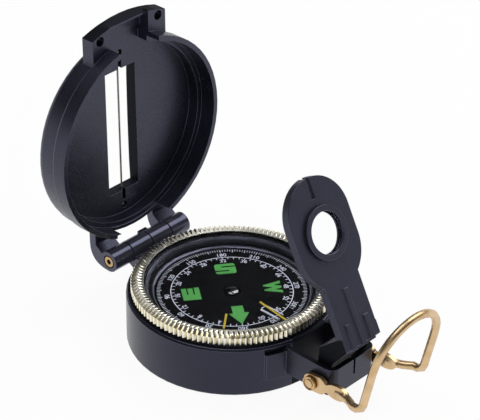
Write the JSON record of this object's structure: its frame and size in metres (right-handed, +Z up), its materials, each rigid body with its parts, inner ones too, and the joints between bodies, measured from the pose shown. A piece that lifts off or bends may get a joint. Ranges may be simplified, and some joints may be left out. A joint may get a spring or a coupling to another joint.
{
  "type": "magnetic compass",
  "caption": "Folding pocket compass: round case with a floating dial, fluted turning bezel, slotted sighting lid, folding lens arm and wire thumb loop.",
  "frame": {"origin": "centre of the round case's flat underside", "axes": "+Z up through the dial, +Y from the dial centre towards the lid hinge, -Y towards the lens arm and thumb loop"},
  "size_m": [0.0564, 0.1051, 0.08],
  "materials": {
    "case_black": "satin black moulding",
    "capsule_black": "gloss black moulding",
    "seal_rubber": "matt rubber",
    "window_clear": "clear polished",
    "plain_brass": "plain brass",
    "plain_steel": "plain steel",
    "bezel_gold": "bright pale gold plating",
    "loop_brass": "drawn brass wire",
    "index_yellow": "yellow paint",
    "card_black": "printed black card",
    "jewel_red": "polished jewel"
  },
  "bodies": {
    "case": {"base_case": "case_black", "capsule_cup": "capsule_black", "capsule_seal": "seal_rubber", "capsule_window": "window_clear", "fill_plug": "plain_brass", "pivot_post": "plain_steel", "bezel_washer": "plain_steel", "hinge_pin": "plain_brass", "cross_pin": "loop_brass"},
    "card": {"dial_card": "card_black", "bearing_hub": "plain_steel", "jewel_bearing": "jewel_red", "magnet_left": "plain_steel", "magnet_right": "plain_steel"},
    "bezel": {"bezel_ring": "bezel_gold", "bezel_glass": "window_clear", "index_line_long": "index_yellow", "index_line_short": "index_yellow"},
    "lid": {"lid_shell": "case_black", "sight_wire": "plain_steel"},
    "eyepiece": {"eyepiece_frame": "case_black", "eyepiece_lens": "window_clear", "lens_ring": "case_black"},
    "loop": {"thumb_loop": "loop_brass"}
  },
  "joints": [
    {"name": "lid_hinge", "type": "hinge", "parent": "case", "child": "lid", "pos_m": [0, 0.0317, 0.0145], "axis": [1, 0, 0], "range_deg": [-88.8, 91.2]},
    {"name": "bezel_turn", "type": "hinge", "parent": "case", "child": "bezel", "pos_m": [0, 0, 0.0163], "axis": [0, 0, 1], "continuous": true},
    {"name": "card_swing", "type": "hinge", "parent": "case", "child": "card", "pos_m": [0, 0, 0.0132], "axis": [0, 0, 1], "continuous": true},
    {"name": "eyepiece_fold", "type": "hinge", "parent": "case", "child": "eyepiece", "pos_m": [0, -0.0365, 0.0081], "axis": [-1, 0, 0], "range_deg": [0, 62.3]},
    {"name": "loop_swing", "type": "hinge", "parent": "case", "child": "loop", "pos_m": [0, -0.0365, 0.0081], "axis": [-1, 0, 0], "range_deg": [-90, 40]}
  ]
}
